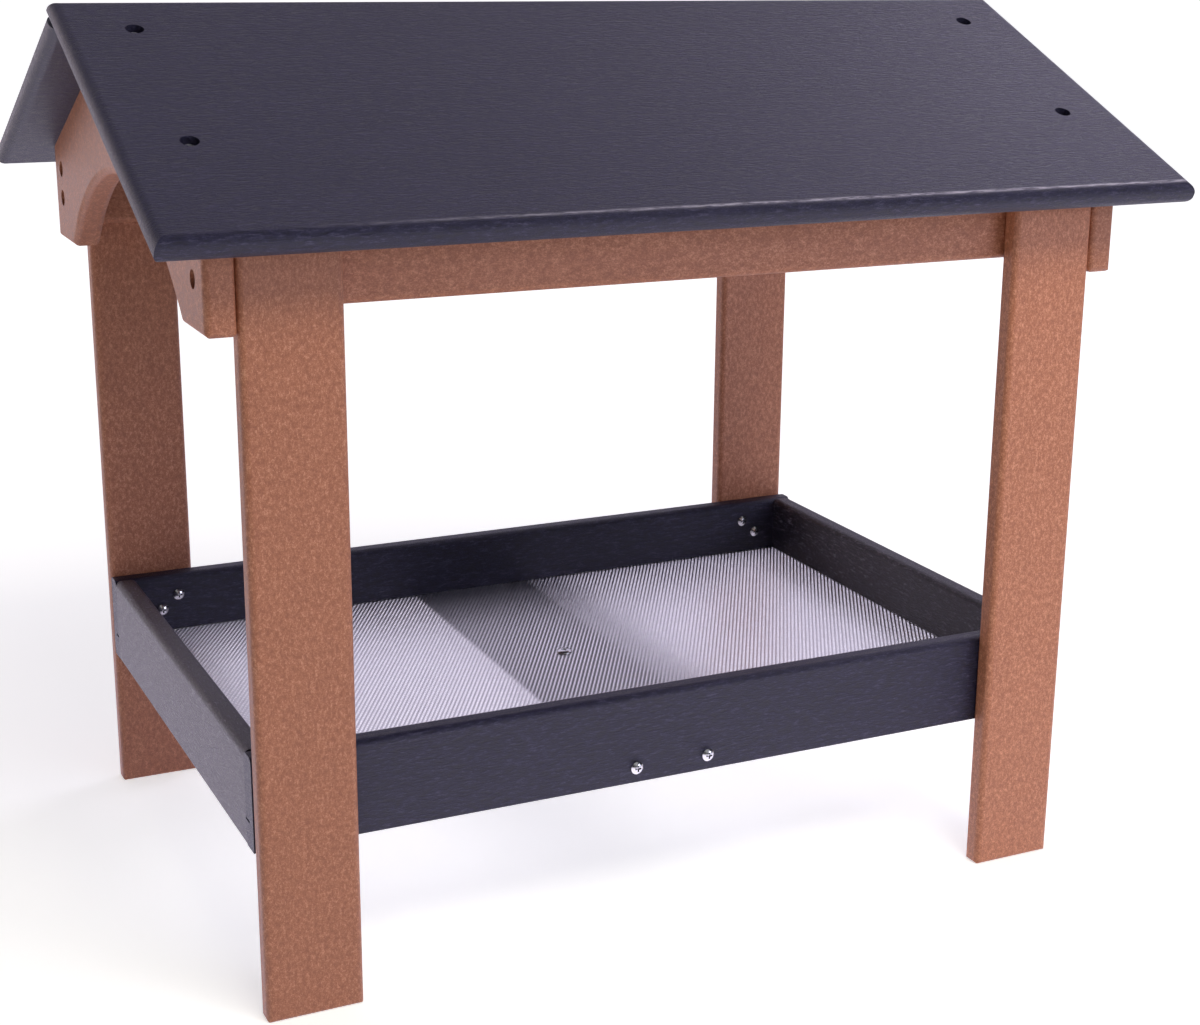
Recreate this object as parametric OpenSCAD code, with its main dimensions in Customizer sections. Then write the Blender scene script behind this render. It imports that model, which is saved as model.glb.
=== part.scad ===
// Ground bird feeder: four flat legs carry a screen-floored tray under a two-panel roof on arched gables.
// The origin is on the ground, midway between the legs. X runs along the ridge, and the front is at -Y.

/* [Legs] */
// Distance over the outer edges of the legs, along the ridge
span_x = 600; // [500:1:700]
// Distance over the outer faces of the legs, front to back
span_y = 428; // [360:1:500]
// Height of the legs
leg_h = 501; // [440:1:600]
// Width of a leg board
leg_w = 63.5; // [56:0.5:80]
// Thickness of a leg board
leg_t = 16; // [13:0.5:20]
// Radius of a leg's long edges
leg_round = 4.5; // [2:0.5:5]
// Radius of the easing round a leg's ends
leg_ease = 2; // [1:0.5:4]

/* [Tray] */
// Height of the tray boards' lower edges above the ground
tray_z = 109.5; // [60:0.5:180]
// Height of the tray boards
tray_h = 63.5; // [50:0.5:90]
// Thickness of the tray boards
tray_t = 16; // [13:0.5:20]
// Radius of the tray boards' upper edges
tray_round = 4.5; // [2:0.5:6]
// Radius of the tray boards' lower edges
tray_ease = 1; // [0.5:0.5:3]

/* [Screen and slat] */
// Height of the screen's underside above the tray boards' lower edges
screen_rise = 17.5; // [14:0.5:26]
// Thickness of the screen's sheet
screen_t = 1; // [0.8:0.1:1.5]
// Depth of the groove that holds the screen in the tray boards
groove_depth = 8; // [5:0.5:9]
// Height of that groove above the screen's thickness
groove_play = 0.6; // [0.3:0.1:1.5]
// Clearance between the screen's edge and the groove's floor
screen_play = 0.5; // [0.3:0.1:2]
// Distance between the centres of the screen's holes
screen_pitch = 32; // [30:1:40]
// Width of the metal between two holes
screen_web = 6; // [4:0.5:10]
// Width of the plain border inside the tray boards
screen_border = 6; // [4:1:20]
// Width of the slat under the screen
slat_w = 102; // [70:1:150]
// Thickness of the slat
slat_t = 16; // [13:0.5:16]
// Distance of the slat's middle from the tray's middle
slat_x = -6; // [-30:1:30]
// Radius of the slat's long edges
slat_round = 2; // [1:0.5:5]

/* [Gables and aprons] */
// Thickness of the gable boards
gable_t = 19; // [16:0.5:22]
// Height of a gable's upright sides, measured down from the leg tops
gable_side = 64; // [50:1:80]
// Width of a gable's foot, from its upright side to the arch
gable_foot = 55; // [50:1:80]
// Rise of the arch
arch_rise = 68; // [50:1:76]
// Radius of the gables' edges
gable_round = 4.5; // [2:0.5:6]
// Height of the apron boards
apron_h = 60; // [50:0.5:70]
// Thickness of the apron boards
apron_t = 16; // [13:0.5:20]
// Radius of the aprons' long edges
apron_round = 4.5; // [2:0.5:6]

/* [Roof] */
// Slope of the roof in degrees
roof_pitch = 24; // [18:0.5:32]
// Thickness of the roof panels
roof_t = 16; // [15.5:0.5:19]
// Overhang of the roof past the legs, front and rear
roof_eave = 35; // [15:0.5:80]
// Overhang of the roof past each gable
roof_overhang = 35; // [15:1:80]
// Radius of the roof panels' edges
roof_round = 7; // [3:0.5:7.5]
// Gap between the leg tops and the roof
roof_gap = 0.5; // [0.3:0.1:3]

/* [Screws] */
// Diameter of a screw's shank
shank_d = 4; // [3:0.1:5]
// Diameter of a pan head
head_d = 9; // [7.5:0.1:10]
// Height of a pan head
head_h = 3; // [2.5:0.1:4]
// Diameter of the counterbores in the roof and the gables
cbore_d = 11.5; // [10.5:0.1:14]
// Depth of the counterbores in the roof
roof_cbore = 6; // [3.2:0.1:8]
// Depth of the counterbores in the gables
gable_cbore = 6; // [3.2:0.1:8]
// Clearance between a shank and its hole
hole_play = 0.1; // [0.05:0.05:0.5]
// Distance from the ridge line to the upper roof screws, down the slope
roof_screw_high = 30; // [26:1:60]
// Distance from the eave to the lower roof screws, up the slope
roof_screw_low = 104; // [90:1:140]
// Distance between the two screws in each corner of a gable
gable_screw_gap = 21; // [16:1:30]
// Distance from a leg's outer edge to the outer screw that joins it to the tray
leg_screw_edge = 35; // [30:1:40]
// Step sideways between the two screws of a pair
leg_screw_step_x = 13; // [11:1:18]
// Step upwards between the two screws of a pair
leg_screw_step_z = 11; // [11:1:30]
// Distance of a pair's lower screw below the tray's upper edge
leg_screw_drop = 27.5; // [24:0.5:32]
// Distance of the slat's end screws from the tray's middle, left and right
slat_screws_x = [-37, 17];
// Distance of those screws below the slat's upper face
slat_screw_drop = 6.5; // [5:0.5:9]
// Place of the screw that holds the screen to the slat
screen_screw = [2, 9];

/* [Hidden] */
$fn = 48;

cedar = [0.62, 0.36, 0.25];
black = [0.12, 0.12, 0.15];
steel = [0.75, 0.75, 0.78];

// Faces that the legs, the tray and the aprons share
half_x = span_x / 2;
half_y = span_y / 2;
face_y = half_y - leg_t;
inner_x = half_x - tray_t;
inner_y = face_y - tray_t;

// Ridge line of the roof's undersides
peak_z = leg_h + roof_gap + half_y * tan(roof_pitch);
roof_l = span_x + 2 * (gable_t + roof_overhang);
roof_slope_l = (half_y + roof_eave) / cos(roof_pitch);
roof_reach = 2 * roof_t;
apron_z = peak_z - face_y * tan(roof_pitch) - apron_h;
gable_z = leg_h - gable_side;
gable_x = half_x + gable_t / 2;
arch_half = half_y - gable_foot;
arch_r = (pow(arch_half, 2) + pow(arch_rise, 2)) / (2 * arch_rise);
arch_z = gable_z + arch_rise - arch_r;

// Screen, its groove and its slat
screen_z = tray_z + screen_rise;
groove_h = screen_t + groove_play;
screen_x = inner_x + groove_depth - screen_play;
screen_y = inner_y + groove_depth - screen_play;
slat_z = screen_z - slat_t;
row_step = screen_pitch * sin(60);

// Screws: lengths under the head, and heights
roof_screw_l = 38;
gable_screw_l = 50;
leg_screw_l = tray_t + leg_t * 0.6;
apron_screw_l = apron_t + leg_t * 0.6;
corner_screw_l = 42;
slat_screw_l = 45;
screen_screw_l = slat_t * 0.8;
recess_l = 4.6;
recess_w = 1.2;
recess_depth = 1.4;
head_rim = 1.1;
countersink_h = 2.5;
cut_extra = 1;
leg_screw_z = tray_z + tray_h - leg_screw_drop;
apron_mid = apron_z + apron_h / 2;
apron_pair_z = 20;
corner_x = half_x - tray_t / 2;
corner_screw_rise = 8.5;
corner_screw_drop = 13.5;
corner_screw_z = [tray_z + corner_screw_rise, tray_z + tray_h - corner_screw_drop];
eps = 0.01;

// Waste outside a quarter round whose corner is at the origin
module quarter_waste(r) {
    difference() {
        translate([-eps, -eps]) square(r + eps);
        translate([r, r]) circle(r);
    }
}

// Waste outside an arc that rounds a corner at the origin, where an edge along X turns down by an angle
module turn_waste(turn, r) {
    reach = r * tan(turn / 2);
    difference() {
        polygon([[-reach, -r], [-reach, cut_extra], [cut_extra * sin(turn), cut_extra * (1 + cos(turn))],
                 [reach * cos(turn) + cut_extra * sin(turn), cut_extra * cos(turn) - reach * sin(turn)]]);
        translate([-reach, -r]) circle(r);
    }
}

// Rectangle from the origin with rounded lower and upper corners
module eased_rect(w, h, lower, upper) {
    difference() {
        square([w, h]);
        for (side = [0, 1]) {
            translate([side * w, 0]) mirror([side, 0]) quarter_waste(lower);
            translate([side * w, h]) mirror([side, 0]) mirror([0, 1]) quarter_waste(upper);
        }
    }
}

// Profile drawn in Y and Z and run along X, centred on the origin's X
module along_x(length) {
    translate([-length / 2, 0, 0]) rotate([90, 0, 90]) linear_extrude(length) children();
}

// Profile drawn in X and Z and run along Y from the origin
module along_y(length) {
    translate([0, length, 0]) rotate([90, 0, 0]) linear_extrude(length) children();
}

// Upright board from the origin, with rounded long edges and eased ends
module upright(w, t, h, round_r, ease_r) {
    intersection() {
        linear_extrude(h) eased_rect(w, t, round_r, round_r);
        along_y(t) eased_rect(w, h, ease_r, ease_r);
        translate([w / 2, 0, 0]) along_x(w) eased_rect(t, h, ease_r, ease_r);
    }
}

// Cross recess, cut from above a head down to its depth below the origin
module cross_recess() {
    for (turn = [0, 90]) rotate(turn)
        translate([-recess_l / 2, -recess_w / 2, -recess_depth])
            cube([recess_l, recess_w, recess_depth + head_h]);
}

// Pan-head screw whose head seats on the origin, with its shank running down -Z
module pan_screw(length) {
    crown = head_h - head_rim;
    crown_r = (pow(head_d / 2, 2) + pow(crown, 2)) / (2 * crown);
    difference() {
        union() {
            translate([0, 0, -length]) cylinder(h = length + head_rim, d = shank_d);
            intersection() {
                cylinder(h = head_h, d = head_d);
                translate([0, 0, head_h - crown_r]) sphere(crown_r);
            }
        }
        translate([0, 0, head_h]) cross_recess();
    }
}

// Countersunk screw whose flat head is flush with the origin's plane
module flat_screw(length) {
    difference() {
        union() {
            translate([0, 0, -length]) cylinder(h = length, d = shank_d);
            translate([0, 0, -countersink_h]) cylinder(h = countersink_h, d1 = shank_d, d2 = head_d);
        }
        cross_recess();
    }
}

// Hole for a shank, from just above the origin's plane down -Z
module shank_hole(length) {
    translate([0, 0, -length - cut_extra])
        cylinder(h = length + 2 * cut_extra, d = shank_d + 2 * hole_play);
}

// Counterbore and shank hole, cut into a face through the origin
module cbore_hole(length, depth) {
    translate([0, 0, -depth]) cylinder(h = depth + cut_extra, d = cbore_d);
    translate([0, 0, -depth]) shank_hole(length);
}

// Countersunk hole that fits a flat screw
module sunk_hole(length) {
    shank_hole(length);
    translate([0, 0, -countersink_h])
        cylinder(h = countersink_h, d1 = shank_d + 2 * hole_play, d2 = head_d + 2 * hole_play);
    cylinder(h = cut_extra, d = head_d + 2 * hole_play);
}

// Places of the screws. Each puts its children on the seat of a head, with -Z into the wood.
module at_roof_screws(slope_side) {
    for (x = [-gable_x, gable_x], s = [roof_screw_high, roof_slope_l - roof_screw_low])
        on_slope(slope_side) translate([x, -slope_side * s, roof_t]) children();
}

module at_gable_screws(side) {
    for (y = [-1, 1], z = [-0.5, 0.5])
        translate([side * (half_x + gable_t), y * (face_y - apron_t / 2), apron_mid + z * gable_screw_gap])
            rotate([0, side * 90, 0]) children();
}

module at_leg_pairs(side_y, seat_y, low_z, step_z) {
    for (side_x = [-1, 1], k = [0, 1])
        translate([side_x * (half_x - leg_screw_edge - k * leg_screw_step_x), side_y * seat_y,
                   low_z + k * step_z]) rotate([side_y * 90, 0, 0]) children();
}

module at_tray_pairs(side_y) {
    at_leg_pairs(side_y, inner_y, leg_screw_z, leg_screw_step_z) children();
}

module at_apron_pairs(side_y) {
    at_leg_pairs(side_y, face_y - apron_t, apron_mid - apron_pair_z, 2 * apron_pair_z) children();
}

module at_corner_screws(side_y) {
    for (x = [-corner_x, corner_x], z = corner_screw_z)
        translate([x, side_y * face_y, z]) rotate([-side_y * 90, 0, 0]) children();
}

module at_slat_screws(side_y) {
    for (x = slat_screws_x)
        translate([x, side_y * face_y, screen_z - slat_screw_drop]) rotate([-side_y * 90, 0, 0]) children();
}

// Legs
module leg(side_x, side_y) {
    color(cedar) difference() {
        translate([side_x > 0 ? half_x - leg_w : -half_x, side_y > 0 ? face_y : -half_y, 0])
            upright(leg_w, leg_t, leg_h, leg_round, leg_ease);
        at_tray_pairs(side_y) shank_hole(leg_screw_l);
        at_apron_pairs(side_y) shank_hole(apron_screw_l);
    }
}

module front_left_leg() { leg(-1, -1); }
module front_right_leg() { leg(1, -1); }
module rear_left_leg() { leg(-1, 1); }
module rear_right_leg() { leg(1, 1); }

// Tray board section with its groove, drawn with the outer face at the origin and the inner face at tray_t
module tray_section() {
    difference() {
        eased_rect(tray_t, tray_h, tray_ease, tray_round);
        translate([tray_t - groove_depth, screen_rise]) square([groove_depth + eps, groove_h]);
    }
}

module long_tray_board(side_y) {
    color(black) difference() {
        translate([0, side_y * face_y, tray_z]) mirror([0, side_y > 0 ? 1 : 0, 0])
            along_x(span_x) tray_section();
        at_tray_pairs(side_y) shank_hole(leg_screw_l);
        at_corner_screws(side_y) sunk_hole(corner_screw_l);
        at_slat_screws(side_y) shank_hole(slat_screw_l);
    }
}

module front_tray_board() { long_tray_board(-1); }
module rear_tray_board() { long_tray_board(1); }

module tray_end(side_x) {
    color(black) difference() {
        translate([side_x * half_x, 0, tray_z]) mirror([side_x > 0 ? 1 : 0, 0, 0])
            translate([0, -inner_y, 0]) along_y(2 * inner_y) tray_section();
        for (side_y = [-1, 1]) at_corner_screws(side_y) shank_hole(corner_screw_l);
    }
}

module left_tray_end() { tray_end(-1); }
module right_tray_end() { tray_end(1); }

// Screen: a perforated sheet whose rows of round holes are staggered
module screen() {
    hole_r = (screen_pitch - screen_web) / 2;
    reach_x = inner_x - screen_border - hole_r;
    reach_y = inner_y - screen_border - hole_r;
    columns = floor(reach_x / screen_pitch) + 1;
    rows = floor(reach_y / row_step) + 1;
    color(steel) difference() {
        translate([-screen_x, -screen_y, screen_z]) cube([2 * screen_x, 2 * screen_y, screen_t]);
        for (row = [-rows:rows], column = [-columns:columns]) {
            x = screen_screw[0] + (column + abs(row % 2) / 2) * screen_pitch;
            y = screen_screw[1] + row * row_step;
            clear = row != 0 || column != 0;
            if (clear && abs(x) <= reach_x && abs(y) <= reach_y)
                translate([x, y, screen_z - screen_t]) cylinder(h = 3 * screen_t, r = hole_r);
        }
        translate([screen_screw[0], screen_screw[1], screen_z + screen_t]) shank_hole(screen_screw_l);
    }
}

module screen_slat() {
    color(black) difference() {
        translate([slat_x - slat_w / 2, -inner_y, slat_z])
            along_y(2 * inner_y) eased_rect(slat_w, slat_t, slat_round, slat_round);
        for (side_y = [-1, 1]) at_slat_screws(side_y) shank_hole(slat_screw_l);
        translate([screen_screw[0], screen_screw[1], screen_z + screen_t]) shank_hole(screen_screw_l);
    }
}

// Gable: its upper edges follow the roof, and an arch is cut up from its lower edge
module gable_outline() {
    side_z = peak_z - half_y * tan(roof_pitch);
    polygon([[-half_y, gable_z], [half_y, gable_z], [half_y, side_z], [0, peak_z], [-half_y, side_z]]);
}

// Waste under the arch, flared at both faces so that the arch keeps rounded edges
module arch_waste() {
    translate([-gable_t / 2, 0, arch_z]) rotate([0, 90, 0]) rotate_extrude($fn = 96) difference() {
        translate([0, -eps]) square([arch_r + gable_round, gable_t + 2 * eps]);
        translate([arch_r, 0]) eased_rect(4 * gable_round, gable_t, gable_round, gable_round);
    }
}

module gable(side_x) {
    color(cedar) difference() {
        translate([side_x * gable_x, 0, 0]) difference() {
            intersection() {
                along_x(gable_t) gable_outline();
                translate([-gable_t / 2, -half_y, 0])
                    linear_extrude(peak_z + eps) eased_rect(gable_t, span_y, gable_round, gable_round);
                translate([-gable_t / 2, -half_y, gable_z])
                    along_y(span_y) eased_rect(gable_t, peak_z, gable_round, 0);
                translate([0, -half_y, gable_z])
                    along_x(gable_t) eased_rect(span_y, peak_z, gable_round, 0);
            }
            arch_waste();
        }
        at_gable_screws(side_x) cbore_hole(gable_screw_l, gable_cbore);
        for (slope_side = [-1, 1])
            at_roof_screws(slope_side) translate([0, 0, -roof_cbore]) shank_hole(roof_screw_l);
    }
}

module left_gable() { gable(-1); }
module right_gable() { gable(1); }

module apron(side_y) {
    color(cedar) difference() {
        translate([0, side_y * face_y, apron_z]) mirror([0, side_y > 0 ? 1 : 0, 0])
            along_x(span_x) eased_rect(apron_t, apron_h, apron_round, apron_round);
        at_apron_pairs(side_y) shank_hole(apron_screw_l);
        for (side_x = [-1, 1])
            at_gable_screws(side_x) translate([0, 0, -gable_cbore]) shank_hole(gable_screw_l);
    }
}

module front_apron() { apron(-1); }
module rear_apron() { apron(1); }

// Children placed on a slope: X along the ridge, Y up or down the slope, and Z out from its underside
module on_slope(slope_side) {
    translate([0, 0, peak_z]) rotate([slope_side * roof_pitch, 0, 0]) children();
}

// Roof panel on its slope, with rounded edges. The children are what its profile loses at the ridge.
module sloped_panel(slope_side) {
    on_slope(slope_side) mirror([0, slope_side > 0 ? 0 : 1, 0]) translate([0, -roof_slope_l, 0])
        intersection() {
            along_x(roof_l) difference() {
                eased_rect(2 * roof_slope_l, roof_t, roof_round, roof_round);
                translate([roof_slope_l, 0]) children();
            }
            translate([-roof_l / 2, 0, 0])
                along_y(roof_slope_l + roof_reach) eased_rect(roof_l, roof_t, roof_round, roof_round);
        }
}

// The front panel laps over the rear one. Its upper end is bevelled flush with the rear panel's upper face.
module front_roof_panel() {
    color(black) difference() {
        sloped_panel(1) translate([roof_t * tan(roof_pitch), roof_t]) {
            rotate(-2 * roof_pitch) square(2 * roof_reach);
            turn_waste(2 * roof_pitch, roof_round);
        }
        at_roof_screws(1) cbore_hole(roof_screw_l, roof_cbore);
    }
}

// The rear panel's upper end is bevelled to lie flat against the front panel's underside
module rear_roof_panel() {
    color(black) difference() {
        sloped_panel(-1) rotate(180 - 2 * roof_pitch)
            translate([-roof_reach, -2 * roof_reach]) square(2 * roof_reach);
        at_roof_screws(-1) cbore_hole(roof_screw_l, roof_cbore);
    }
}

// Screws
module roof_screws() {
    color(steel) for (slope_side = [-1, 1]) at_roof_screws(slope_side)
        translate([0, 0, -roof_cbore]) pan_screw(roof_screw_l);
}

module gable_screws() {
    color(steel) for (side_x = [-1, 1]) at_gable_screws(side_x)
        translate([0, 0, -gable_cbore]) pan_screw(gable_screw_l);
}

module tray_leg_screws() {
    color(steel) for (side_y = [-1, 1]) at_tray_pairs(side_y) pan_screw(leg_screw_l);
}

module apron_leg_screws() {
    color(steel) for (side_y = [-1, 1]) at_apron_pairs(side_y) pan_screw(apron_screw_l);
}

module tray_corner_screws() {
    color(steel) for (side_y = [-1, 1]) at_corner_screws(side_y) flat_screw(corner_screw_l);
}

module slat_end_screws() {
    color(steel) for (side_y = [-1, 1]) at_slat_screws(side_y) pan_screw(slat_screw_l);
}

module screen_centre_screw() {
    color(steel) translate([screen_screw[0], screen_screw[1], screen_z + screen_t])
        pan_screw(screen_screw_l);
}

front_left_leg();
front_right_leg();
rear_left_leg();
rear_right_leg();
front_tray_board();
rear_tray_board();
left_tray_end();
right_tray_end();
screen();
screen_slat();
left_gable();
right_gable();
front_apron();
rear_apron();
front_roof_panel();
rear_roof_panel();
roof_screws();
gable_screws();
tray_leg_screws();
apron_leg_screws();
tray_corner_screws();
slat_end_screws();
screen_centre_screw();
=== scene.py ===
from math import sin, cos, pi, radians
import bpy
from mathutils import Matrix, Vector


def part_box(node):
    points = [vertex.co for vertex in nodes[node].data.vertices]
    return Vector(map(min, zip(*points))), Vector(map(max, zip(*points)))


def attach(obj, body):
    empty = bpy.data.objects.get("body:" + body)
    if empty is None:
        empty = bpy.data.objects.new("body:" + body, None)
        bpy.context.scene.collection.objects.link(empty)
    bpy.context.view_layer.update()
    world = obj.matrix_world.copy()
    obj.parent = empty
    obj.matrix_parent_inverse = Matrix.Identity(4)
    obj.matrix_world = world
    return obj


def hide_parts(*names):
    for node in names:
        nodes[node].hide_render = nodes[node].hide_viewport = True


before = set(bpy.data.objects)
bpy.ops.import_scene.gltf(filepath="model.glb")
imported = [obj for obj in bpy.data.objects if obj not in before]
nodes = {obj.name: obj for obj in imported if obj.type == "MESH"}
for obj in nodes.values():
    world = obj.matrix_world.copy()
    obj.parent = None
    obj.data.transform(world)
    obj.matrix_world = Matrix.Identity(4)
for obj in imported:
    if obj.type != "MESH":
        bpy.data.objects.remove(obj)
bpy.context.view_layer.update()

scene = bpy.context.scene

# A colour Mix node has several sockets of each name, so its colours are reached by number
MIX_FIRST, MIX_SECOND, MIX_RESULT = 6, 7, 2


# Shader nodes

def new_material(name, **values):
    """A material with its node tree and shader. The values are set on the shader's own sockets."""
    mat = bpy.data.materials.new(name)
    mat.use_nodes = True
    shader = mat.node_tree.nodes["Principled BSDF"]
    for socket, value in values.items():
        shader.inputs[socket.replace("_", " ")].default_value = value
    return mat, mat.node_tree, shader


def add(tree, kind, **values):
    """A new node. A value whose name starts with in_ goes to an input, and any other is a setting."""
    node = tree.nodes.new(kind)
    for key, value in values.items():
        if key.startswith("in_"):
            node.inputs[key.removeprefix("in_").replace("_", " ")].default_value = value
        else:
            setattr(node, key, value)
    return node


def feed(tree, socket, value):
    """Link another node's output to a socket, or set the socket to a plain value."""
    if isinstance(value, bpy.types.NodeSocket):
        tree.links.new(value, socket)
    else:
        socket.default_value = value


def maths(tree, operation, *values):
    """The result of a Math node."""
    node = add(tree, "ShaderNodeMath", operation=operation)
    for socket, value in zip(node.inputs, values):
        feed(tree, socket, value)
    return node.outputs[0]


def object_place(tree):
    """The point's own coordinates in its object, in metres."""
    return add(tree, "ShaderNodeTexCoord").outputs["Object"]


def stretched(tree, axis, along, across, offset=(0.0, 0.0, 0.0)):
    """Object coordinates scaled so that marks run long along one axis."""
    scale = [across] * 3
    scale[axis] = along
    mapping = add(tree, "ShaderNodeMapping", in_Scale=scale, in_Location=offset)
    tree.links.new(object_place(tree), mapping.inputs["Vector"])
    return mapping.outputs["Vector"]


def noise(tree, vector, detail, rough, scale=1.0):
    tex = add(tree, "ShaderNodeTexNoise", in_Scale=scale, in_Detail=detail, in_Roughness=rough)
    tree.links.new(vector, tex.inputs["Vector"])
    return tex.outputs["Fac"]


def ramp(tree, value, stops):
    """Colours by value, from stops of a place and a colour. A new stop gets its place below."""
    node = add(tree, "ShaderNodeValToRGB")
    elements = node.color_ramp.elements
    while len(elements) < len(stops):
        elements.new(position=0.5)
    for element, (place, colour) in zip(elements, stops):
        element.position = place
        element.color = (*colour, 1.0)
    tree.links.new(value, node.inputs["Fac"])
    return node.outputs["Color"]


def span(tree, value, low, high, out_low, out_high, interpolation="LINEAR"):
    """A value between low and high brought to between out_low and out_high, and held there beyond."""
    node = add(tree, "ShaderNodeMapRange", interpolation_type=interpolation)
    for key, number in (("From Min", low), ("From Max", high), ("To Min", out_low), ("To Max", out_high)):
        node.inputs[key].default_value = number
    tree.links.new(value, node.inputs["Value"])
    return node.outputs["Result"]


def mix_colour(tree, share, first, second, mode="MIX"):
    """Two colours mixed, each a node's output or three plain numbers."""
    node = add(tree, "ShaderNodeMix", data_type="RGBA", blend_type=mode)
    feed(tree, node.inputs[0], share)
    for place, colour in ((MIX_FIRST, first), (MIX_SECOND, second)):
        feed(tree, node.inputs[place], (*colour, 1.0) if isinstance(colour, tuple) else colour)
    return node.outputs[MIX_RESULT]


def darkened(tree, colour, shade):
    """A colour multiplied by another."""
    return mix_colour(tree, 1.0, colour, shade, "MULTIPLY")


def bump(tree, shader, height, strength, distance):
    node = add(tree, "ShaderNodeBump", in_Strength=strength, in_Distance=distance)
    tree.links.new(height, node.inputs["Height"])
    tree.links.new(node.outputs["Normal"], shader.inputs["Normal"])


# Lumber

# How far a board's pattern is shifted in X, Y and Z for each unit of its seed, so that no two boards match
SEED_SHIFT = (0.37, 0.91, 0.53)
# How far apart the first seeds of the boards along X, along Y and along Z are
SEED_GAP = 7

# Boards of cedar lumber painted darker or paler than the rest as painted light and shade, for how the light
# falls on each, and their share of its colour
CEDAR_PAINTED_LIGHT = {"front_left_leg": 0.93, "front_right_leg": 1.18, "front_apron": 1.05, "rear_right_leg": 1.08}

# Boards of black lumber whose specks are painted paler than the rest as a painted sheen, and how many times
BLACK_PAINTED_SHEEN = {"left_tray_end": 3.0, "right_tray_end": 3.0}


def cedar_lumber(name, axis, seed):
    """Red-brown recycled lumber: pale and dark flecks of many sizes, drawn out a little along the board."""
    mat, tree, shader = new_material(name, Specular_IOR_Level=0.60)
    shift = tuple(seed * part for part in SEED_SHIFT)
    flecks = noise(tree, stretched(tree, axis, along=230.0, across=330.0, offset=shift),
                   detail=4.0, rough=1.0)
    clouds = noise(tree, stretched(tree, axis, along=30.0, across=55.0, offset=shift),
                   detail=2.0, rough=0.5)
    body = ramp(tree, flecks, [(0.39, (0.330, 0.110, 0.050)), (0.47, (0.405, 0.146, 0.069)),
                               (0.54, (0.485, 0.190, 0.098)), (0.64, (0.670, 0.325, 0.200))])
    # Painted light and shade: the whole board's colour is scaled by its share
    shade = CEDAR_PAINTED_LIGHT.get(name, 1.0)
    cloud = ramp(tree, clouds, [(0.30, (0.94 * shade, 0.93 * shade, 0.92 * shade)),
                                (0.70, (shade, shade, shade))])
    tree.links.new(darkened(tree, body, cloud), shader.inputs["Base Color"])
    roughness = span(tree, flecks, low=0.4, high=0.6, out_low=0.42, out_high=0.56)
    tree.links.new(roughness, shader.inputs["Roughness"])
    bump(tree, shader, flecks, strength=0.80, distance=0.0008)
    return mat


def black_lumber(name, axis, seed):
    """Blue-black recycled lumber: a fine streaky grain with sparse pale specks."""
    painted_sheen = BLACK_PAINTED_SHEEN.get(name, 1.0)
    mat, tree, shader = new_material(name, Specular_IOR_Level=0.50)
    shift = tuple(seed * part for part in SEED_SHIFT)
    grain = noise(tree, stretched(tree, axis, along=120.0, across=560.0, offset=shift),
                  detail=4.0, rough=0.85)
    clouds = noise(tree, stretched(tree, axis, along=14.0, across=45.0, offset=shift),
                   detail=3.0, rough=0.55)
    # On those boards the paler specks are a painted sheen
    body = ramp(tree, grain, [(0.38, (0.004, 0.003, 0.014)), (0.48, (0.008 * painted_sheen, 0.007 * painted_sheen, 0.029)),
                              (0.55, (0.016 * painted_sheen, 0.014 * painted_sheen, 0.030 + 0.014 * painted_sheen)),
                              (0.65, (0.070 * painted_sheen, 0.064 * painted_sheen, 0.050 + 0.060 * painted_sheen))])
    cloud = ramp(tree, clouds, [(0.30, (0.84, 0.84, 0.86)), (0.70, (1.0, 1.0, 1.0))])
    tree.links.new(darkened(tree, body, cloud), shader.inputs["Base Color"])
    roughness = span(tree, grain, low=0.4, high=0.6, out_low=0.30, out_high=0.54)
    tree.links.new(roughness, shader.inputs["Roughness"])
    bump(tree, shader, grain, strength=1.0, distance=0.0011)
    return mat


def fill_slots(name, mat):
    """Give every material slot of a CAD node the same material."""
    slots = nodes[name].data.materials
    for index in range(len(slots)):
        slots[index] = mat


def dress(names, make, axis):
    """Give each board a material of its own, named as its node, with the grain along one axis."""
    for count, name in enumerate(names):
        fill_slots(name, make(name, axis, 1.0 + count + SEED_GAP * axis))


ALONG_X, ALONG_Y, ALONG_Z = 0, 1, 2
dress(["front_left_leg", "front_right_leg", "rear_left_leg", "rear_right_leg"], cedar_lumber, ALONG_Z)
dress(["left_gable", "right_gable"], cedar_lumber, ALONG_Y)
dress(["front_apron", "rear_apron"], cedar_lumber, ALONG_X)
dress(["front_roof_panel", "rear_roof_panel", "front_tray_board", "rear_tray_board"], black_lumber, ALONG_X)
dress(["left_tray_end", "right_tray_end", "screen_slat"], black_lumber, ALONG_Y)


# Pale line along the front eave, partly edge wear and partly a painted highlight

# The rounding of the roof panels' edges and the slope of the roof, as the CAD has them
EAVE_ROUND = 0.007
ROOF_SLOPE = radians(24)
CREASE_WIDTH = 0.0018
CREASE_COLOUR = (0.55, 0.51, 0.60)
# The line is gone left of the first place in X, and at its full strength right of the second
CREASE_FADE = (-0.28, 0.02)


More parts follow.
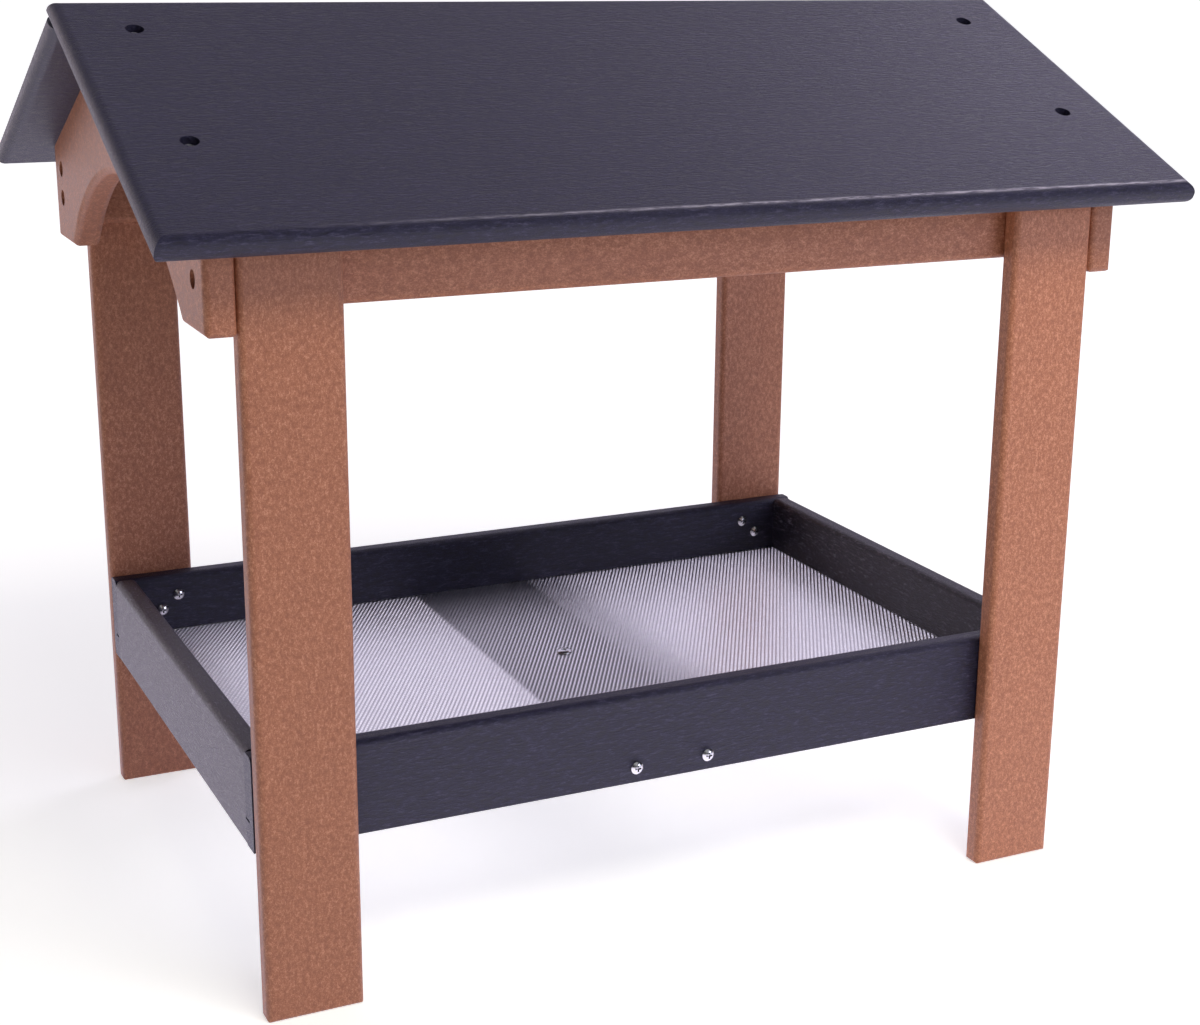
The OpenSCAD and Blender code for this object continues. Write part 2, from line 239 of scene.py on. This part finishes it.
def pale_crease(mat, place, height):
    """A pale line along a board's upper edge, at this place in Y and from this height up."""
    tree = mat.node_tree
    base = tree.nodes["Principled BSDF"].inputs["Base Color"]
    board = base.links[0].from_socket
    split = add(tree, "ShaderNodeSeparateXYZ")
    tree.links.new(object_place(tree), split.inputs[0])
    distance = maths(tree, "ABSOLUTE", maths(tree, "SUBTRACT", split.outputs["Y"], place))
    line = span(tree, distance, low=0.0, high=CREASE_WIDTH, out_low=1.0, out_high=0.0)
    patches = noise(tree, stretched(tree, ALONG_X, along=90.0, across=600.0), detail=3.0, rough=0.7)
    for share in (maths(tree, "GREATER_THAN", split.outputs["Z"], height),
                  span(tree, split.outputs["X"], *CREASE_FADE, out_low=0.0, out_high=1.0),
                  span(tree, patches, low=0.38, high=0.62, out_low=0.1, out_high=1.0)):
        line = maths(tree, "MULTIPLY", line, share)
    # The pale line is partly edge wear and partly a painted highlight
    tree.links.new(mix_colour(tree, line, board, CREASE_COLOUR), base)


# The line lies where the panel's flat top meets the rounding, a little behind the panel's front
eave_front, eave_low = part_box("front_roof_panel")[0][1:3]
pale_crease(bpy.data.materials["front_roof_panel"], eave_front + EAVE_ROUND * (1 - sin(ROOF_SLOPE)),
            eave_low + 2 * EAVE_ROUND)


# Metal

# How far the painted shade of a hollow looks for its walls
RECESS_SHADE_DEPTH = 0.0015
# The duller patches' share of a metal's colour
DULL_SHARE = 0.90


def bright_metal(name, colour, low, high, scale):
    """Bright metal whose roughness wanders between low and high."""
    mat, tree, shader = new_material(name, Metallic=1.0)
    wear = noise(tree, object_place(tree), detail=3.0, rough=0.6, scale=scale)
    sheen = ramp(tree, wear, [(0.3, tuple(part * DULL_SHARE for part in colour)), (0.7, colour)])
    tree.links.new(sheen, shader.inputs["Base Color"])
    roughness = span(tree, wear, low=0.3, high=0.7, out_low=low, out_high=high)
    tree.links.new(roughness, shader.inputs["Roughness"])
    return mat


def paint_recess_shade(mat, depth):
    """Painted shade darkening the hollows of a metal."""
    tree = mat.node_tree
    base = tree.nodes["Principled BSDF"].inputs["Base Color"]
    sheen = base.links[0].from_socket
    hollow = add(tree, "ShaderNodeAmbientOcclusion", only_local=True, in_Distance=depth)
    painted_shade = ramp(tree, hollow.outputs["AO"], [(0.45, (0.03, 0.03, 0.04)), (0.90, (1.0, 1.0, 1.0))])
    tree.links.new(darkened(tree, sheen, painted_shade), base)


steel = bright_metal("screw_steel", (0.70, 0.70, 0.72), low=0.16, high=0.28, scale=900.0)
# Painted shade in the screw heads' recesses and seats
paint_recess_shade(steel, RECESS_SHADE_DEPTH)
# The sunk screws get a paler, rougher copy of the steel; its paleness is painted light against the shade of
# their counterbores
sunk_steel = bright_metal("sunk_screw_steel", (0.95, 0.95, 0.95), low=0.40, high=0.50, scale=900.0)
for name in ("gable_screws", "tray_leg_screws", "apron_leg_screws", "tray_corner_screws",
             "slat_end_screws", "screen_centre_screw"):
    fill_slots(name, steel)
fill_slots("roof_screws", sunk_steel)


# Screen

# Upper and lower strands of the mesh: direction in degrees, width, and the shares of the sheet's
# thickness where each starts and ends
STRANDS = [(60, 0.0012, 0.40, 1.0), (-60, 0.0010, 0.0, 0.90)]
STRAND_SPACING = 0.0029


def clip(poly, low, high):
    """A convex polygon cut to an upright rectangle."""
    for axis, limit, sign in ((0, low.x, 1), (0, high.x, -1), (1, low.y, 1), (1, high.y, -1)):
        out = []
        for i, p in enumerate(poly):
            q = poly[(i + 1) % len(poly)]
            dp, dq = (p[axis] - limit) * sign, (q[axis] - limit) * sign
            if dp >= 0:
                out.append(p)
            if (dp >= 0) != (dq >= 0):
                out.append(p + (q - p) * (dp / (dp - dq)))
        poly = out
        if not poly:
            break
    return poly


def clipped_strands(low, high, spacing, width, angle, z0, z1):
    """Flat bars at one angle in plan, cut to the rectangle from low to high."""
    verts, faces = [], []
    along = Vector((cos(angle), sin(angle)))
    across = Vector((-sin(angle), cos(angle)))
    middle = (low + high) / 2
    reach = (high - low).length / 2
    count = int(reach / spacing) + 1
    for k in range(-count, count + 1):
        poly = [middle + along * u * reach + across * (k * spacing + v * width / 2)
                for u, v in ((-1, -1), (1, -1), (1, 1), (-1, 1))]
        poly = clip(poly, low, high)
        if len(poly) < 3:
            continue
        base = len(verts)
        n = len(poly)
        verts += [(p.x, p.y, z0) for p in poly] + [(p.x, p.y, z1) for p in poly]
        faces.append([base + i for i in reversed(range(n))])
        faces.append([base + n + i for i in range(n)])
        for i in range(n):
            j = (i + 1) % n
            faces.append([base + i, base + j, base + n + j, base + n + i])
    return verts, faces


def mesh_object(name, verts, faces, mat):
    mesh = bpy.data.meshes.new(name)
    mesh.from_pydata(verts, [], faces)
    mesh.validate()
    mesh.materials.append(mat)
    obj = bpy.data.objects.new(name, mesh)
    scene.collection.objects.link(obj)
    return obj


lo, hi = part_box("screen")
screen_low, screen_high, screen_top = Vector((lo[0], lo[1])), Vector((hi[0], hi[1])), hi[2]
screen_mat = bright_metal("screen_metal", (0.86, 0.86, 0.88), low=0.38, high=0.48, scale=300.0)
verts, faces = [], []
for turn, width, bottom, top in STRANDS:
    z0, z1 = lo[2] + bottom * (hi[2] - lo[2]), lo[2] + top * (hi[2] - lo[2])
    v, f = clipped_strands(screen_low, screen_high, STRAND_SPACING, width, radians(turn), z0, z1)
    faces += [[i + len(verts) for i in face] for face in f]
    verts += v
screen = mesh_object("fine_screen", verts, faces, screen_mat)
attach(screen, "root")
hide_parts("screen")


# Screw in the middle of the screen, with a wide domed head

HEAD_RADIUS, HEAD_HEIGHT, HEAD_RIM = 0.0060, 0.0022, 0.0005
RECESS_RADIUS, RECESS_DEPTH, RECESS_TAPER = 0.0021, 0.0016, 0.7
SHANK_RADIUS, SHANK_LENGTH = 0.0022, 0.012
# The recess's lobes: how many, and how far they stand out, as a share of its radius
LOBE_COUNT, LOBE_DEPTH = 4, 0.30
TURN_STEPS = 96
# Angles of the dome's rings, in degrees from the recess's rim to the head's edge
DOME_ANGLES = range(0, 91, 10)
# Edges that turn by more than this stay sharp
SHARP_ANGLE = radians(40)


def turned(name, profile, place, mat):
    """A body turned round an upright axis, from (radius, height, lobe depth) points, top centre first."""
    verts, faces, rings = [], [], []
    for radius, height, lobes in profile:
        count = TURN_STEPS if radius > 0 else 1
        rings.append(range(len(verts), len(verts) + count))
        for k in range(count):
            angle = 2 * pi * k / TURN_STEPS
            reach = radius * (1 + lobes * cos(LOBE_COUNT * angle))
            verts.append((reach * cos(angle), reach * sin(angle), height))
    for upper, lower in zip(rings, rings[1:]):
        for k in range(TURN_STEPS):
            corners = [upper[k % len(upper)], lower[k % len(lower)],
                       lower[(k + 1) % len(lower)], upper[(k + 1) % len(upper)]]
            faces.append(list(dict.fromkeys(corners)))
    obj = mesh_object(name, verts, faces, mat)
    obj.data.shade_smooth()
    obj.data.set_sharp_from_angle(angle=SHARP_ANGLE)
    obj.location = place
    return obj


recess_floor = HEAD_HEIGHT - RECESS_DEPTH
dome = [(RECESS_RADIUS + (HEAD_RADIUS - RECESS_RADIUS) * sin(radians(a)),
         HEAD_RIM + (HEAD_HEIGHT - HEAD_RIM) * cos(radians(a)),
         LOBE_DEPTH if a == 0 else 0.0) for a in DOME_ANGLES]
profile = [(0.0, recess_floor, 0.0),
           (RECESS_TAPER * RECESS_RADIUS, recess_floor, LOBE_DEPTH),
           *dome,
           (HEAD_RADIUS, 0.0, 0.0),
           (SHANK_RADIUS, 0.0, 0.0),
           (SHANK_RADIUS, -SHANK_LENGTH, 0.0),
           (0.0, -SHANK_LENGTH, 0.0)]
lo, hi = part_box("screen_centre_screw")
centre_screw = turned("centre_screw", profile, ((lo[0] + hi[0]) / 2, (lo[1] + hi[1]) / 2, screen_top), steel)
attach(centre_screw, "root")
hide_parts("screen_centre_screw")


# Tints of the studio's lights

WHITE = (1.0, 1.0, 1.0)
LAVENDER = (0.98, 0.90, 1.14)
LILAC = (0.94, 0.94, 1.22)
CREAM = (1.04, 1.00, 0.90)
PEACH = (1.12, 0.94, 0.96)


# Floor and backdrop in one

# The floor lies a hair under the feet, so that the two don't show through each other
FLOOR_REACH, FLOOR_DROP = 60.0, 0.0003

# How bright the floor shows in glossy surfaces: from and to, in metres from the object's middle,
# the share at each of the two, and the strength
GLOSS_RINGS = [
    (0.6, 1.2, (1.0, 0.0), 0.70),
    (0.9, 2.6, (1.0, 0.0), 0.35),
    (2.0, 4.0, (0.0, 1.0), 0.90),
]

# The camera's own lift towards white: from and to, and the strength at each
CAMERA_LIFT = (0.6, 3.0, (0.54, 0.85))


def outward(tree, near, far, ends):
    """A value that goes from the first end to the second between two distances from the object's middle."""
    length = add(tree, "ShaderNodeVectorMath", operation="LENGTH")
    tree.links.new(object_place(tree), length.inputs[0])
    return span(tree, length.outputs["Value"], near, far, *ends)


floor_mat, tree, shader = new_material("floor", Base_Color=(0.89, 0.90, 0.86, 1.0), Roughness=1.0,
                                       Specular_IOR_Level=0.0)
rays = add(tree, "ShaderNodeLightPath")
gloss = 0.0
for near, far, ends, strength in GLOSS_RINGS:
    gloss = maths(tree, "ADD", maths(tree, "MULTIPLY", outward(tree, near, far, ends), strength), gloss)
gloss = maths(tree, "MULTIPLY", rays.outputs["Is Glossy Ray"], gloss)
lift = maths(tree, "MULTIPLY_ADD", rays.outputs["Is Camera Ray"], outward(tree, *CAMERA_LIFT), gloss)
tree.links.new(lift, shader.inputs["Emission Strength"])
glow_tint = mix_colour(tree, rays.outputs["Is Glossy Ray"], WHITE, LAVENDER)
tree.links.new(glow_tint, shader.inputs["Emission Color"])

floor_corners = [(x * FLOOR_REACH, y * FLOOR_REACH, 0.0) for x, y in ((-1, -1), (1, -1), (1, 1), (-1, 1))]
floor = mesh_object("floor", floor_corners, [(0, 1, 2, 3)], floor_mat)
floor.location.z = -FLOOR_DROP


# World, with soft boxes round the object

# Soft boxes: direction, radius in degrees, strength, tint. From the top, from the front and above,
# from the rear and above, from the rear, and from the right rear
SOFT_BOXES = [
    ((0.25, -0.1, 1.0), 22, 0.5, WHITE),
    ((0.0, -1.0, 1.0), 40, 0.4, WHITE),
    ((0.0, 1.0, 1.0), 40, 0.5, LAVENDER),
    ((0.0, 1.0, 0.25), 40, 0.45, LAVENDER),
    ((1.0, 1.0, 0.3), 35, 0.55, LAVENDER),
]

world = bpy.data.worlds.new("studio")
scene.world = world
world.use_nodes = True
tree = world.node_tree
coords = add(tree, "ShaderNodeTexCoord")
room = (0.0, 0.0, 0.0)
for direction, radius, strength, tint in SOFT_BOXES:
    facing = add(tree, "ShaderNodeVectorMath", operation="DOT_PRODUCT")
    tree.links.new(coords.outputs["Generated"], facing.inputs[0])
    facing.inputs[1].default_value = Vector(direction).normalized()
    level = span(tree, facing.outputs["Value"], low=cos(radians(radius)), high=1.0,
                 out_low=0.0, out_high=1.0, interpolation="SMOOTHSTEP")
    box = add(tree, "ShaderNodeVectorMath", operation="SCALE")
    box.inputs[0].default_value = Vector(tint) * strength
    tree.links.new(level, box.inputs["Scale"])
    total = add(tree, "ShaderNodeVectorMath", operation="ADD")
    tree.links.new(box.outputs[0], total.inputs[0])
    feed(tree, total.inputs[1], room)
    room = total.outputs[0]
rays = add(tree, "ShaderNodeLightPath")
background = tree.nodes["Background"]
background.inputs["Strength"].default_value = 1.0
tree.links.new(mix_colour(tree, rays.outputs["Is Camera Ray"], room, WHITE), background.inputs["Color"])


# Lamps: name, place, target, size, power in watts, tint, and whether glossy surfaces show the lamp

LAMPS = [
    ("right_front", (1.8, -2.6, 1.0), (0.0, 0.0, 0.10), (1.6, 1.0), 24.0, LILAC, True),
    ("top_front", (0.2, -1.7, 2.2), (0.0, 0.0, 0.30), (1.5, 0.8), 28.0, CREAM, False),
    ("right_rear", (2.4, 1.3, 2.5), (0.1, 0.0, 0.50), (1.4, 1.4), 21.0, LAVENDER, True),
    ("left_rear", (-1.9, 2.3, 0.6), (-0.1, 0.0, 0.30), (2.2, 1.2), 12.0, PEACH, True),
    ("left_front", (-2.4, -0.5, 0.4), (-0.3, -0.2, 0.40), (1.0, 0.6), 5.0, WHITE, False),
]

for name, place, target, size, power, tint, in_gloss in LAMPS:
    light = bpy.data.lights.new(name, "AREA")
    light.shape = "RECTANGLE"
    light.size, light.size_y = size
    light.energy = power
    light.color = tint
    lamp = bpy.data.objects.new(name, light)
    lamp.location = place
    lamp.rotation_euler = (Vector(target) - Vector(place)).to_track_quat("-Z", "Y").to_euler()
    lamp.visible_glossy = in_gloss
    scene.collection.objects.link(lamp)


# Camera, fitted to the edges of the photograph

camera_data = bpy.data.cameras.new("camera")
camera_data.sensor_fit = "HORIZONTAL"
camera_data.sensor_width = 36.0
camera_data.lens = 60.513
camera_data.shift_x = -0.03717
camera_data.shift_y = -0.00452
camera_data.clip_end = 200.0
camera = bpy.data.objects.new("camera", camera_data)
camera.location = (-0.593288, -1.323793, 0.664081)
camera.rotation_euler = (radians(73.9515), radians(-0.7562), radians(-26.2108))
scene.collection.objects.link(camera)
scene.camera = camera

scene.view_settings.view_transform = "Standard"
